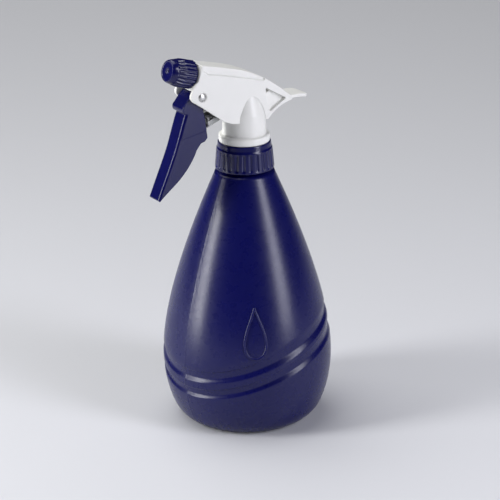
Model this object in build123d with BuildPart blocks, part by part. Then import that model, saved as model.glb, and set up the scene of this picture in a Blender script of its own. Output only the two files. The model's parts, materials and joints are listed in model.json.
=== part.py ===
"""Trigger spray bottle: a round tapering bottle under a screwed-on spray head.

Frame: millimetres, origin at the centre of the bottle's base, +Z up, +X the way the nozzle sprays.
"""

from build123d import *
from math import atan2, cos, degrees, radians, sin, sqrt, tan
import os

# ---- fits and gaps ----
RUNNING_FIT = 0.06
PRESS_GAP = 0.05
MOVING_GAP = 0.3
SEAT_GAP = 0.1

# ---- bottle ----
FOOT_RADIUS = 34.0
HEEL_RADIUS = 43.7
HEEL_HEIGHT = 8.0
BELLY_RADIUS = 49.5
BELLY_HEIGHT = 38.0
SHOULDER_RADIUS = 17.0
SHOULDER_HEIGHT = 149.4
BOTTLE_WALL = 1.5
GROOVE_DEPTH = 0.9
MOULD_ANGLE = 10.0
NECK_RADIUS = 12.6
NECK_BORE = NECK_RADIUS - 1.8
NECK_LENGTH = 10.6
THREAD_RADIUS = NECK_RADIUS + 0.9
THREAD_HEIGHT = 1.2
THREAD_STEP = 3.6

# ---- screw collar and neck gasket ----
COLLAR_BORE = THREAD_RADIUS + 0.4
COLLAR_RADIUS = COLLAR_BORE + 3.1
COLLAR_HEIGHT = 15.7
COLLAR_TOP_WALL = 2.3
COLLAR_TOP_RADIUS = COLLAR_RADIUS - 2.0
COLLAR_TAPER = 1.0
COLLAR_BAND = 3.6
COLLAR_FLUTES = 26
COLLAR_FLUTE_RADIUS = 0.75
GASKET_INNER = NECK_BORE + 0.1
GASKET_OUTER = NECK_RADIUS + 0.5
GASKET_HEIGHT = 1.45

# ---- pump body ----
SWIVEL_RADIUS = NECK_RADIUS - 1.6
RETAINER_RADIUS = NECK_RADIUS + 0.6
RETAINER_HEIGHT = 1.9
FLANGE_RADIUS = COLLAR_TOP_RADIUS - 0.4
FLANGE_HEIGHT = 4.1
COLUMN_RADIUS = FLANGE_RADIUS - 2.2
COLUMN_WALL = 1.5
DOME_START = 12.6
RISER_RADIUS = 6.0
RISER_BORE = 4.3
OUTLET_RADIUS = 3.6
NOSE_RADIUS = 4.4
NOSE_LENGTH = 9.0
PORT_RADIUS = 1.1

# ---- pump: slope of its axis below the trigger's pivot ----
PUMP_SLOPE = 20.0
LEVER_ARM = 17.2
PULL_ANGLE = 25.0
CYLINDER_BORE = 4.9
CYLINDER_WALL = 0.9
CYLINDER_MOUTH = 11.5
CYLINDER_LENGTH = 19.0
MOUTH_RIM = 0.5
MOUTH_RIM_LENGTH = 1.3
SLEEVE_WALL = 0.95
GUIDE_RADIUS = 4.7
GUIDE_BORE = 3.9
GUIDE_FLOOR = 1.2
SPRING_SEAT = 14.9
SPRING_RADIUS = 3.3
SPRING_WIRE = 0.33
SPRING_TURNS = 7
ROD_RADIUS = 2.35
CAP_FACE = 0.8
CAP_THICKNESS = 1.2
NOSE_BUTTON_RADIUS = 2.2
SEAL_HEIGHT = 2.4

# ---- shroud ----
CHEEK_WALL = 2.0
CHEEK_ROOM = 0.2
RAIL_STEP = 1.2
POCKET_DEPTH = 2.4
TAIL_HALF_WIDTH = 7.0
TAIL_TIP = -41.0
TAIL_CORNER = 5.5
BULKHEAD_WALL = 1.5

# ---- trigger and its pin ----
PIVOT_X = 32.7
PIVOT_HEIGHT = 32.4
PIN_RADIUS = 1.5
PIN_HEAD_RADIUS = 2.7
PIN_HEAD_SINK = 0.7
HUB_RADIUS = 3.2
TRIGGER_HALF_WIDTH = 5.8
TRIGGER_WEB = 1.0
FINGER_ROUND = 1.8
WEB_STEP = 0.2
PAD_HALF_WIDTH = 2.4
PAD_HEIGHT = 4.2
PAD_THICKNESS = 1.4
STEM_WIDTH = 2.4
STEM_HEIGHT = 3.4
STEM_END = 41.0

# ---- nozzle ----
NOZZLE_SLOPE = 17.0
NOZZLE_X = 35.0
NOZZLE_HEIGHT = 44.1
KNOB_RADIUS = 8.0
KNOB_FRONT_RADIUS = 6.5
KNOB_LENGTH = 15.4
KNOB_FLUTES = 22
KNOB_FLUTE_RADIUS = 0.6
ORIFICE_RADIUS = 0.4
NOZZLE_RING_WIRE = 0.55
INSERT_RADIUS = 2.95
OUTLET_SEAT = -12.0
OUTLET_BALL_RADIUS = 1.5
OUTLET_SEAT_BORE = 1.2
OUTLET_BORE = 2.1
OUTLET_SPRING_WIRE = 0.2

# ---- suction side ----
HOLDER_FLANGE_RADIUS = 5.6
HOLDER_TOP = 8.9
BALL_RADIUS = 2.0
BALL_SEAT_BORE = 1.4
BALL_CHAMBER = 2.6
BALL_CHAMBER_TOP = 13.5
TUBE_RADIUS = 2.1
TUBE_BORE = 1.4
TUBE_TOP = 5.0
TUBE_FOOT = 6.0
STRAINER_RADIUS = 3.3
STRAINER_FOOT = 3.2
STRAINER_TOP = 15.0

# ---- heights and frames that follow from the sizes above ----
NECK_FOOT = SHOULDER_HEIGHT + 1.4
NECK_TOP = NECK_FOOT + NECK_LENGTH
GASKET_FOOT = NECK_TOP + SEAT_GAP
RETAINER_FOOT = GASKET_FOOT + GASKET_HEIGHT + PRESS_GAP
HEAD_BASE = RETAINER_FOOT + RETAINER_HEIGHT + SEAT_GAP + COLLAR_TOP_WALL + SEAT_GAP
COLLAR_TOP = HEAD_BASE - SEAT_GAP
COLLAR_FOOT = COLLAR_TOP - COLLAR_HEIGHT
CYLINDER_RADIUS = CYLINDER_BORE + CYLINDER_WALL
SLEEVE_BORE = CYLINDER_RADIUS + PRESS_GAP
SLEEVE_RADIUS = SLEEVE_BORE + SLEEVE_WALL
CHEEK_INNER = SLEEVE_RADIUS + CHEEK_ROOM
CHEEK_HALF_WIDTH = CHEEK_INNER + CHEEK_WALL
RAIL_HALF_WIDTH = CHEEK_HALF_WIDTH - RAIL_STEP
POCKET_HALF_WEB = CHEEK_HALF_WIDTH - POCKET_DEPTH
BALL_SEAT_RISE = sqrt(BALL_RADIUS**2 - BALL_SEAT_BORE**2)
OUTLET_SEAT_RISE = sqrt(OUTLET_BALL_RADIUS**2 - OUTLET_SEAT_BORE**2)
CYLINDER_END = CYLINDER_MOUTH + CYLINDER_LENGTH
BUTTON_LEAD = LEVER_ARM * tan(radians(PULL_ANGLE / 2))
SEAL_START = SPRING_SEAT + GUIDE_FLOOR + MOVING_GAP

upright = Plane(origin=(0, 0, HEAD_BASE))
head_side = Plane(origin=(0, 0, HEAD_BASE), x_dir=(1, 0, 0), z_dir=(0, -1, 0))
mould_side = Plane(
    origin=(0, 0, 0),
    x_dir=(cos(radians(MOULD_ANGLE)), sin(radians(MOULD_ANGLE)), 0),
    z_dir=(sin(radians(MOULD_ANGLE)), -cos(radians(MOULD_ANGLE)), 0),
)
slope = radians(PUMP_SLOPE)
pump_foot = (PIVOT_X - LEVER_ARM * sin(slope), 0, HEAD_BASE + PIVOT_HEIGHT - LEVER_ARM * cos(slope))
# z runs up the stroke (back and up), measured from the point under the trigger's pivot
pump_axis = Plane(origin=pump_foot, x_dir=(0, 1, 0), z_dir=(-cos(slope), 0, sin(slope)))
inlet_port = Plane(origin=(-1.2, 0, HEAD_BASE))
outlet_port = Plane(origin=(1.8, 0, HEAD_BASE))
nozzle_axis = Plane(
    origin=(NOZZLE_X, 0, HEAD_BASE + NOZZLE_HEIGHT),
    x_dir=(0, 1, 0),
    z_dir=(cos(radians(NOZZLE_SLOPE)), 0, sin(radians(NOZZLE_SLOPE))),
)
pin_axis = Plane(origin=(PIVOT_X, 0, HEAD_BASE + PIVOT_HEIGHT), x_dir=(1, 0, 0), z_dir=(0, 1, 0))


def turn(frame, outline, mode=Mode.ADD):
    """Turn an outline of (radius, height) points about a frame's z axis."""
    with BuildSketch(Plane(frame.origin, x_dir=frame.x_dir, z_dir=-frame.y_dir)) as section:
        with BuildLine():
            Polyline(*outline, close=True)
        make_face()
    revolve(section.sketch, axis=Axis(frame.origin, frame.z_dir), mode=mode)


def rod(frame, radius, start, end, mode=Mode.ADD):
    """Make a round bar on a frame's z axis, from one height to another."""
    turn(frame, [(0, start), (radius, start), (radius, end), (0, end)], mode)


def ring(frame, inner, outer, start, end, mode=Mode.ADD):
    """Make a ring on a frame's z axis, from one height to another."""
    turn(frame, [(inner, start), (outer, start), (outer, end), (inner, end)], mode)


def slab(outline, half_width, mode=Mode.ADD):
    """Extrude a side outline, in (forward, height above the head's base), to both sides."""
    with BuildSketch(head_side) as section:
        with BuildLine():
            Polyline(*outline, close=True)
        make_face()
    extrude(section.sketch, amount=half_width, both=True, mode=mode)


def coil(frame, radius, wire, start, end, turns):
    """Wind a coil spring on a frame's z axis, its ends inside the two heights."""
    height = end - start - 2 * wire
    with BuildLine() as path:
        Helix(
            pitch=height / turns,
            height=height,
            radius=radius,
            center=frame.origin + frame.z_dir * (start + wire),
            direction=frame.z_dir,
        )
    line = path.line
    with BuildSketch(Plane(origin=line @ 0, z_dir=line % 0)) as section:
        Circle(wire)
    sweep(section.sketch, path=line, is_frenet=True)


# ================= bottle =================


def body_core(inset):
    """Return the bottle's body as a solid, with its whole surface moved inward by inset."""
    shoulder = (SHOULDER_RADIUS - inset, SHOULDER_HEIGHT - inset)
    belly = (BELLY_RADIUS - inset, BELLY_HEIGHT)
    heel = (HEEL_RADIUS - inset, HEEL_HEIGHT)
    with BuildPart() as core:
        with BuildSketch(Plane.XZ):
            with BuildLine():
                Line((0, inset), (FOOT_RADIUS - inset, inset))
                Bezier(
                    (FOOT_RADIUS - inset, inset),
                    (FOOT_RADIUS + 4.5 - inset, inset),
                    (heel[0] - 1.5, heel[1] - 3.2),
                    heel,
                )
                Bezier(heel, (heel[0] + 4.3, heel[1] + 9.2), (belly[0], belly[1] - 9.2), belly)
                Bezier(belly, (belly[0], belly[1] + 41.3), (shoulder[0], shoulder[1] - 1.0), shoulder)
                Polyline(shoulder, (NECK_BORE, NECK_FOOT - inset), (0, NECK_FOOT - inset), (0, inset))
            make_face()
        revolve(axis=Axis.Z)
    return core.part


# Each groove lies between two shallow arcs, seen from the side of the mould: front, middle, back.
UPPER_GROOVE = (
    ((52.0, 40.0), (0.0, 60.2), (-52.0, 73.8)),
    ((52.0, 32.7), (0.0, 52.0), (-52.0, 65.2)),
)
LOWER_GROOVE = (
    ((52.0, 28.5), (0.0, 49.6), (-52.0, 63.6)),
    ((52.0, 21.9), (0.0, 41.7), (-52.0, 52.0)),
)


def groove_cut(groove, inset):
    """Return what a groove takes off the body, down to the surface at inset."""
    with BuildPart() as cut:
        with BuildSketch(mould_side):
            with BuildLine():
                upper = ThreePointArc(*groove[0])
                lower = ThreePointArc(*groove[1])
                Line(upper @ 0, lower @ 0)
                Line(upper @ 1, lower @ 1)
            make_face()
        extrude(amount=BELLY_RADIUS + 5, both=True)
        add(body_core(inset), mode=Mode.SUBTRACT)
    return cut.part


with BuildPart() as cavity:
    add(body_core(BOTTLE_WALL))
    for groove in (UPPER_GROOVE, LOWER_GROOVE):
        add(groove_cut(groove, BOTTLE_WALL + GROOVE_DEPTH), mode=Mode.SUBTRACT)
    rod(Plane.XY, NECK_BORE, SHOULDER_HEIGHT - 3 * BOTTLE_WALL, NECK_TOP)

with BuildPart() as bottle:
    add(body_core(0))
    ring(Plane.XY, 0, NECK_RADIUS, SHOULDER_HEIGHT - 2 * BOTTLE_WALL, NECK_TOP)
    for turn_number in range(2):
        thread_foot = NECK_FOOT + 3.4 + turn_number * THREAD_STEP
        rod(Plane.XY, THREAD_RADIUS, thread_foot, thread_foot + THREAD_HEIGHT)
    for groove in (UPPER_GROOVE, LOWER_GROOVE):
        add(groove_cut(groove, GROOVE_DEPTH), mode=Mode.SUBTRACT)
    add(cavity.part, mode=Mode.SUBTRACT)

# ================= screw collar and gasket =================

with BuildPart() as screw_collar:
    turn(
        Plane.XY,
        [
            (COLLAR_BORE, COLLAR_FOOT),
            (COLLAR_RADIUS - 0.3, COLLAR_FOOT),
            (COLLAR_RADIUS, COLLAR_FOOT + 0.6),
            (COLLAR_RADIUS - COLLAR_TAPER, COLLAR_TOP - COLLAR_BAND),
            (COLLAR_TOP_RADIUS + 0.5, COLLAR_TOP - COLLAR_BAND + 0.4),
            (COLLAR_TOP_RADIUS + 0.2, COLLAR_TOP - 0.5),
            (COLLAR_TOP_RADIUS, COLLAR_TOP),
            (SWIVEL_RADIUS + MOVING_GAP, COLLAR_TOP),
            (SWIVEL_RADIUS + MOVING_GAP, COLLAR_TOP - COLLAR_TOP_WALL),
            (COLLAR_BORE, COLLAR_TOP - COLLAR_TOP_WALL),
        ],
    )
    with Locations((0, 0, COLLAR_FOOT + 1.0)):
        with PolarLocations(COLLAR_RADIUS + 0.35, COLLAR_FLUTES):
            Cylinder(
                COLLAR_FLUTE_RADIUS,
                COLLAR_HEIGHT - COLLAR_BAND - 2.6,
                rotation=(0, -degrees(atan2(COLLAR_TAPER, COLLAR_HEIGHT - COLLAR_BAND - 0.6)), 0),
                align=(Align.CENTER, Align.CENTER, Align.MIN),
                mode=Mode.SUBTRACT,
            )

with BuildPart() as neck_gasket:
    ring(Plane.XY, GASKET_INNER, GASKET_OUTER, GASKET_FOOT, GASKET_FOOT + GASKET_HEIGHT)

# ================= pump body =================

retainer_foot = RETAINER_FOOT - HEAD_BASE
DOME_OUTLINE = [
    (COLUMN_RADIUS, DOME_START),
    (COLUMN_RADIUS - 0.3, DOME_START + 3.8),
    (COLUMN_RADIUS - 1.2, DOME_START + 7.5),
    (COLUMN_RADIUS - 2.7, DOME_START + 12.5),
    (COLUMN_RADIUS - 3.9, DOME_START + 15.6),
    (COLUMN_RADIUS - 6.8, DOME_START + 17.0),
    (0, DOME_START + 17.0),
]

with BuildPart() as pump_body:
    turn(
        upright,
        [
            (0, retainer_foot),
            (RETAINER_RADIUS, retainer_foot),
            (RETAINER_RADIUS, retainer_foot + RETAINER_HEIGHT),
            (SWIVEL_RADIUS, retainer_foot + RETAINER_HEIGHT),
            (SWIVEL_RADIUS, 0),
            (FLANGE_RADIUS, 0),
            (FLANGE_RADIUS, FLANGE_HEIGHT - 0.5),
            (FLANGE_RADIUS - 0.5, FLANGE_HEIGHT),
            (COLUMN_RADIUS, FLANGE_HEIGHT),
        ]
        + DOME_OUTLINE,
    )
    # hollow between the riser and the column's wall, open to the bottle below
    turn(
        upright,
        [
            (RISER_RADIUS, retainer_foot - 1),
            (SWIVEL_RADIUS - COLUMN_WALL, retainer_foot - 1),
            (SWIVEL_RADIUS - COLUMN_WALL, 0),
            (COLUMN_RADIUS - COLUMN_WALL, 2.5),
            (COLUMN_RADIUS - COLUMN_WALL, DOME_START),
            (COLUMN_RADIUS - COLUMN_WALL - 1, DOME_START + 4.4),
            (RISER_RADIUS, DOME_START + 4.4),
        ],
        Mode.SUBTRACT,
    )
    rod(pump_axis, SLEEVE_RADIUS, CYLINDER_MOUTH + 1.5, CYLINDER_END + 1.0)
    rod(nozzle_axis, OUTLET_RADIUS, -38.0, -BULKHEAD_WALL - 0.5)
    rod(nozzle_axis, NOSE_RADIUS, -BULKHEAD_WALL - 0.5, NOSE_LENGTH)
    slab([(-1.5, 27.0), (7.0, 27.0), (14.0, 37.0), (-1.5, 33.0)], 1.5)
    # cylinder's rim and socket, outlet bore, riser bore and ball chamber, and the two ports
    rod(
        pump_axis,
        CYLINDER_RADIUS + MOUTH_RIM + PRESS_GAP,
        CYLINDER_MOUTH - 3.0,
        CYLINDER_MOUTH + MOUTH_RIM_LENGTH + PRESS_GAP,
        Mode.SUBTRACT,
    )
    rod(pump_axis, SLEEVE_BORE, CYLINDER_MOUTH, CYLINDER_END + PRESS_GAP, Mode.SUBTRACT)
    rod(nozzle_axis, OUTLET_SEAT_BORE, -36.5, 0, Mode.SUBTRACT)
    rod(nozzle_axis, OUTLET_BORE, OUTLET_SEAT, 1.6, Mode.SUBTRACT)
    rod(nozzle_axis, INSERT_RADIUS + PRESS_GAP, 1.6, NOSE_LENGTH, Mode.SUBTRACT)
    rod(upright, RISER_BORE, retainer_foot, HOLDER_TOP + PRESS_GAP, Mode.SUBTRACT)
    rod(upright, BALL_CHAMBER, 0, BALL_CHAMBER_TOP, Mode.SUBTRACT)
    rod(inlet_port, PORT_RADIUS, BALL_CHAMBER_TOP - 0.5, 22.0, Mode.SUBTRACT)
    rod(outlet_port, PORT_RADIUS, 28.0, 34.2, Mode.SUBTRACT)

with BuildPart() as pump_cylinder:
    turn(
        pump_axis,
        [
            (CYLINDER_BORE, CYLINDER_MOUTH),
            (CYLINDER_RADIUS + MOUTH_RIM, CYLINDER_MOUTH),
            (CYLINDER_RADIUS + MOUTH_RIM, CYLINDER_MOUTH + MOUTH_RIM_LENGTH),
            (CYLINDER_RADIUS, CYLINDER_MOUTH + MOUTH_RIM_LENGTH),
            (CYLINDER_RADIUS, CYLINDER_END),
            (0, CYLINDER_END),
            (0, CYLINDER_END - 1.1),
            (CYLINDER_BORE, CYLINDER_END - 1.1),
        ],
    )
    rod(inlet_port, PORT_RADIUS, 15.0, 23.0, Mode.SUBTRACT)
    rod(outlet_port, PORT_RADIUS, 27.0, 36.0, Mode.SUBTRACT)

# The guide plugs the cylinder's mouth, seats the spring and runs on forward as a half trough.
with BuildPart() as piston_guide:
    ring(pump_axis, GUIDE_BORE, GUIDE_RADIUS, -0.2, CYLINDER_MOUTH)
    with BuildSketch(pump_axis.offset(-0.3)) as open_side:
        with Locations((0, -GUIDE_RADIUS - 0.3)):
            Rectangle(4 * GUIDE_RADIUS, 2 * GUIDE_RADIUS)
    extrude(open_side.sketch, amount=CYLINDER_MOUTH - 1.0, mode=Mode.SUBTRACT)
    ring(pump_axis, GUIDE_BORE, CYLINDER_RADIUS, CYLINDER_MOUTH - 1.2, CYLINDER_MOUTH - PRESS_GAP)
    ring(
        pump_axis,
        GUIDE_BORE,
        CYLINDER_BORE - PRESS_GAP,
        CYLINDER_MOUTH - PRESS_GAP,
        SPRING_SEAT + GUIDE_FLOOR,
    )
    ring(pump_axis, ROD_RADIUS + RUNNING_FIT, GUIDE_BORE, SPRING_SEAT, SPRING_SEAT + GUIDE_FLOOR)

# ================= piston =================

with BuildPart() as piston:
    rod(pump_axis, ROD_RADIUS, CAP_FACE + CAP_THICKNESS, SEAL_START + SEAL_HEIGHT)
    rod(pump_axis, 3.6, SEAL_START + SEAL_HEIGHT, SEAL_START + SEAL_HEIGHT + 0.8)

with BuildPart() as piston_seal:
    turn(
        pump_axis,
        [
            (ROD_RADIUS, SEAL_START),
            (CYLINDER_BORE - 0.5, SEAL_START),
            (CYLINDER_BORE - RUNNING_FIT, SEAL_START + 0.6),
            (CYLINDER_BORE - RUNNING_FIT, SEAL_START + SEAL_HEIGHT),
            (CYLINDER_BORE - 0.7, SEAL_START + SEAL_HEIGHT),
            (ROD_RADIUS + 1.6, SEAL_START + 1.6),
            (ROD_RADIUS, SEAL_START + 1.6),
        ],
    )

with BuildPart() as piston_cap:
    rod(pump_axis, GUIDE_BORE - 0.2, CAP_FACE, CAP_FACE + CAP_THICKNESS)
    ring(
        pump_axis,
        ROD_RADIUS,
        SPRING_RADIUS - SPRING_WIRE - 0.1,
        CAP_FACE + CAP_THICKNESS,
        CAP_FACE + CAP_THICKNESS + 3.0,
    )
    rod(pump_axis, NOSE_BUTTON_RADIUS, -BUTTON_LEAD, CAP_FACE)
    with Locations(pump_axis.offset(-BUTTON_LEAD).location):
        Sphere(NOSE_BUTTON_RADIUS)

with BuildPart() as return_spring:
    coil(pump_axis, SPRING_RADIUS, SPRING_WIRE, CAP_FACE + CAP_THICKNESS, SPRING_SEAT, SPRING_TURNS)

# ================= shroud =================

RIDGE = [(32.4, 50.7), (17.2, 46.7), (4.0, 42.8), (-6.0, 38.3), (-17.4, 30.7), (-27.0, 23.3)]
UNDERSIDE = [(-27.0, 21.0), (-20.0, 19.0), (-14.4, 15.8), (-10.8, 12.4)]
CHEEK_EDGE = [
    (-10.8, 12.4),
    (9.0, 12.9),
    (13.8, 13.8),
    (19.0, 16.1),
    (33.9, 27.2),
    (39.0, 30.8),
    (40.1, 32.6),
    (40.0, 34.8),
    (39.0, 36.8),
    (37.9, 38.8),
    (36.4, 41.2),
    (35.35, 41.2),
]
RECESS = [
    (31.6, 47.3),
    (28.9, 44.9),
    (14.6, 41.6),
    (1.4, 37.9),
    (-8.5, 35.2),
    (-8.5, 60.0),
    (28.0, 60.0),
]
POCKET = [
    (-9.2, 31.0),
    (-16.0, 26.8),
    (-22.8, 22.7),
    (-19.6, 21.0),
    (-14.6, 18.2),
    (-11.8, 16.4),
    (-10.8, 20.5),
    (-9.6, 26.0),
]

with BuildPart() as tail:
    with BuildSketch(head_side):
        with BuildLine():
            Spline((-24.0, 24.4), (-27.0, 23.3), (-34.5, 22.8), (TAIL_TIP, 21.0))
            Line((TAIL_TIP, 21.0), (TAIL_TIP, 19.5))
            Spline((TAIL_TIP, 19.5), (-34.5, 20.7), (-27.0, 21.0), (-24.0, 20.6))
            Line((-24.0, 20.6), (-24.0, 24.4))
        make_face()
    extrude(amount=TAIL_HALF_WIDTH, both=True)
    fillet(tail.edges().filter_by(Axis.Z).group_by(Axis.X)[0], TAIL_CORNER)

with BuildPart() as shroud:
    with BuildSketch(head_side):
        with BuildLine():
            Spline(*RIDGE)
            Line(RIDGE[-1], UNDERSIDE[0])
            Spline(*UNDERSIDE)
            Polyline(*CHEEK_EDGE, RIDGE[0])
        make_face()
    extrude(amount=CHEEK_HALF_WIDTH, both=True)
    # the top rail stands in from the cheeks, behind a front post
    for side in (1, -1):
        with BuildSketch(head_side.offset(side * RAIL_HALF_WIDTH)) as recess_face:
            with BuildLine():
                Polyline(*RECESS, close=True)
            make_face()
        extrude(recess_face.sketch, amount=side * 3, mode=Mode.SUBTRACT)
        with BuildSketch(head_side.offset(side * POCKET_HALF_WEB)) as pocket_face:
            with BuildLine():
                Polyline(*POCKET, close=True)
            make_face()
        extrude(pocket_face.sketch, amount=side * CHEEK_HALF_WIDTH, mode=Mode.SUBTRACT)
    slab([(-9.4, 30.6), (-12.6, 28.4), (-9.9, 26.2)], CHEEK_HALF_WIDTH, Mode.SUBTRACT)
    # room for the pump and the trigger between the cheeks, behind and in front of the bulkhead
    slab(
        [
            (31.4, 49.0), (17.2, 45.1), (4.0, 40.6), (-6.0, 35.7), (-8.0, 34.2), (-8.0, -2.0),
            (46.0, -2.0), (46.0, 35.5), (35.5, 35.5),
        ],
        CHEEK_INNER,
        Mode.SUBTRACT,
    )
    slab([(37.1, 35.4), (34.6, 43.6), (46.0, 45.0), (46.0, 35.4)], CHEEK_INNER, Mode.SUBTRACT)
    rod(nozzle_axis, KNOB_RADIUS + 0.5, -0.5, 20.0, Mode.SUBTRACT)
    rod(nozzle_axis, NOSE_RADIUS + PRESS_GAP, -5.0, 0, Mode.SUBTRACT)
    turn(
        upright,
        [(0, -2.0), (COLUMN_RADIUS + PRESS_GAP, -2.0)]
        + [(radius + PRESS_GAP, height + PRESS_GAP) for radius, height in DOME_OUTLINE[:-1]]
        + [(0, DOME_START + 17.0 + PRESS_GAP)],
        Mode.SUBTRACT,
    )
    rod(pin_axis, PIN_RADIUS, -20, 20, Mode.SUBTRACT)
    for side in (1, -1):
        rod(
            pin_axis,
            PIN_HEAD_RADIUS + PRESS_GAP,
            side * (CHEEK_HALF_WIDTH - PIN_HEAD_SINK),
            side * (CHEEK_HALF_WIDTH + 2),
            Mode.SUBTRACT,
        )
    add(tail.part)

with BuildPart() as pivot_pin:
    half = CHEEK_HALF_WIDTH - PIN_HEAD_SINK
    turn(
        pin_axis,
        [
            (0, -half - 1.1),
            (1.5, -half - 0.9),
            (PIN_HEAD_RADIUS, -half - 0.2),
            (PIN_HEAD_RADIUS, -half),
            (PIN_RADIUS, -half),
            (PIN_RADIUS, half),
            (PIN_HEAD_RADIUS, half),
            (PIN_HEAD_RADIUS, half + 0.2),
            (1.5, half + 0.9),
            (0, half + 1.1),
        ],
    )

# ================= trigger =================

FINGER_FACE = [(41.6, 23.5), (43.3, 19.2), (48.0, 5.5), (55.0, -10.7), (60.6, -23.2)]
WEB_EDGE = [(59.8, -24.2), (54.2, -19.6), (47.5, -14.5), (39.8, -6.5), (35.0, 1.6)]
THIN_WEB = [(26.0, 12.6), (30.2, 11.9), (45.6, 9.4), (70.0, 5.0), (70.0, -40.0), (26.0, -40.0)]

with BuildPart() as trigger:
    with BuildSketch(head_side):
        with BuildLine():
            Polyline((29.5, 32.4), (30.4, 34.7), (32.7, 35.6), (36.8, 34.6), (39.4, 32.2), (42.7, 28.3))
            ThreePointArc((42.7, 28.3), (43.7, 25.8), (41.6, 23.5))
            Spline(*FINGER_FACE)
            Line(FINGER_FACE[-1], WEB_EDGE[0])
            Spline(*WEB_EDGE)
            Polyline(
                (35.0, 1.6), (32.1, 5.0), (29.7, 5.6), (27.8, 7.5), (27.9, 8.7), (29.0, 16.3), (29.8, 20.9),
                (30.8, 27.6), (29.5, 32.4),
            )
        make_face()
    extrude(amount=TRIGGER_HALF_WIDTH, both=True)
    fillet(trigger.edges().filter_by(GeomType.BSPLINE).group_by(Axis.X)[-1], FINGER_ROUND)
    with BuildSketch(head_side) as hollow:
        with BuildLine():
            Spline((39.2, 24.5), (41.0, 18.6), (45.6, 5.0), (52.2, -10.9), (57.0, -21.5))
            Polyline((57.0, -21.5), (50.0, -30.0), (20.0, -30.0), (20.0, 28.4), (36.0, 28.4), (39.2, 24.5))
        make_face()
    extrude(hollow.sketch, amount=TRIGGER_HALF_WIDTH - TRIGGER_WEB, both=True, mode=Mode.SUBTRACT)
    # below a slanting crease the webs are a little thinner
    for side in (1, -1):
        with BuildSketch(head_side.offset(side * (TRIGGER_HALF_WIDTH - WEB_STEP))) as thin:
            with BuildLine():
                Polyline(*THIN_WEB, close=True)
            make_face()
        extrude(thin.sketch, amount=side * 2 * WEB_STEP, mode=Mode.SUBTRACT)
    rod(pin_axis, HUB_RADIUS, -TRIGGER_HALF_WIDTH, TRIGGER_HALF_WIDTH)
    rod(pin_axis, PIN_RADIUS + RUNNING_FIT, -20, 20, Mode.SUBTRACT)
    # the pad stands square to the piston's button half way through the pull
    lean = PULL_ANGLE / 2 - PUMP_SLOPE
    button = pump_axis.offset(-BUTTON_LEAD).origin
    pad_face = Plane(
        origin=button,
        x_dir=(0, 1, 0),
        z_dir=(cos(radians(lean)), 0, sin(radians(lean))),
    ).offset(NOSE_BUTTON_RADIUS + SEAT_GAP)
    with BuildSketch(pad_face) as pad:
        Rectangle(2 * PAD_HALF_WIDTH, PAD_HEIGHT)
    extrude(pad.sketch, amount=PAD_THICKNESS)
    with BuildSketch(pad_face.offset(PAD_THICKNESS / 2)) as stem:
        Rectangle(STEM_WIDTH, STEM_HEIGHT)
    extrude(stem.sketch, amount=STEM_END - button.X)

# ================= nozzle =================

groove_radius = NOSE_RADIUS + RUNNING_FIT + 2 * NOZZLE_RING_WIRE + RUNNING_FIT

with BuildPart() as nozzle_knob:
    turn(
        nozzle_axis,
        [
            (0, 0),
            (KNOB_RADIUS - 0.4, 0),
            (KNOB_RADIUS, 0.4),
            (KNOB_RADIUS, KNOB_LENGTH * 0.5),
            (KNOB_FRONT_RADIUS + 0.1, KNOB_LENGTH - 1.2),
            (KNOB_FRONT_RADIUS - 0.6, KNOB_LENGTH),
            (0, KNOB_LENGTH),
        ],
    )
    rod(nozzle_axis, NOSE_RADIUS + MOVING_GAP, 0, NOSE_LENGTH + 2.2, Mode.SUBTRACT)
    rod(nozzle_axis, groove_radius, 1.4, 1.6 + 2 * NOZZLE_RING_WIRE, Mode.SUBTRACT)
    rod(nozzle_axis, ORIFICE_RADIUS, 0, KNOB_LENGTH, Mode.SUBTRACT)
    rod(nozzle_axis, 1.6, KNOB_LENGTH - 1.0, KNOB_LENGTH, Mode.SUBTRACT)
    with Locations(nozzle_axis.location):
        with PolarLocations(KNOB_RADIUS + 0.1, KNOB_FLUTES):
            Cylinder(
                KNOB_FLUTE_RADIUS,
                KNOB_LENGTH - 4.0,
                align=(Align.CENTER, Align.CENTER, Align.MIN),
                mode=Mode.SUBTRACT,
            )

with BuildPart() as nozzle_seal_ring:
    with BuildSketch(Plane(nozzle_axis.origin, x_dir=nozzle_axis.x_dir, z_dir=-nozzle_axis.y_dir)):
        with Locations((NOSE_RADIUS + RUNNING_FIT + NOZZLE_RING_WIRE, 1.5 + NOZZLE_RING_WIRE)):
            Circle(NOZZLE_RING_WIRE)
    revolve(axis=Axis(nozzle_axis.origin, nozzle_axis.z_dir))

with BuildPart() as swirl_insert:
    turn(
        nozzle_axis,
        [
            (0, -3.0),
            (1.1, -3.0),
            (1.1, 1.7),
            (INSERT_RADIUS, 1.7),
            (INSERT_RADIUS, NOSE_LENGTH),
            (1.6, NOSE_LENGTH),
            (1.6, NOSE_LENGTH + 1.8),
            (0, NOSE_LENGTH + 1.8),
        ],
    )
    with Locations(nozzle_axis.offset(1.0).location):
        with PolarLocations(INSERT_RADIUS, 3):
            Cylinder(0.6, NOSE_LENGTH, align=(Align.CENTER, Align.CENTER, Align.MIN), mode=Mode.SUBTRACT)

with BuildPart() as outlet_ball:
    with Locations(nozzle_axis.offset(OUTLET_SEAT + OUTLET_SEAT_RISE + PRESS_GAP).location):
        Sphere(OUTLET_BALL_RADIUS)

with BuildPart() as outlet_spring:
    coil(nozzle_axis, 1.65, OUTLET_SPRING_WIRE, OUTLET_SEAT + 2.2, 1.6, 8)

# ================= suction side =================

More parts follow.
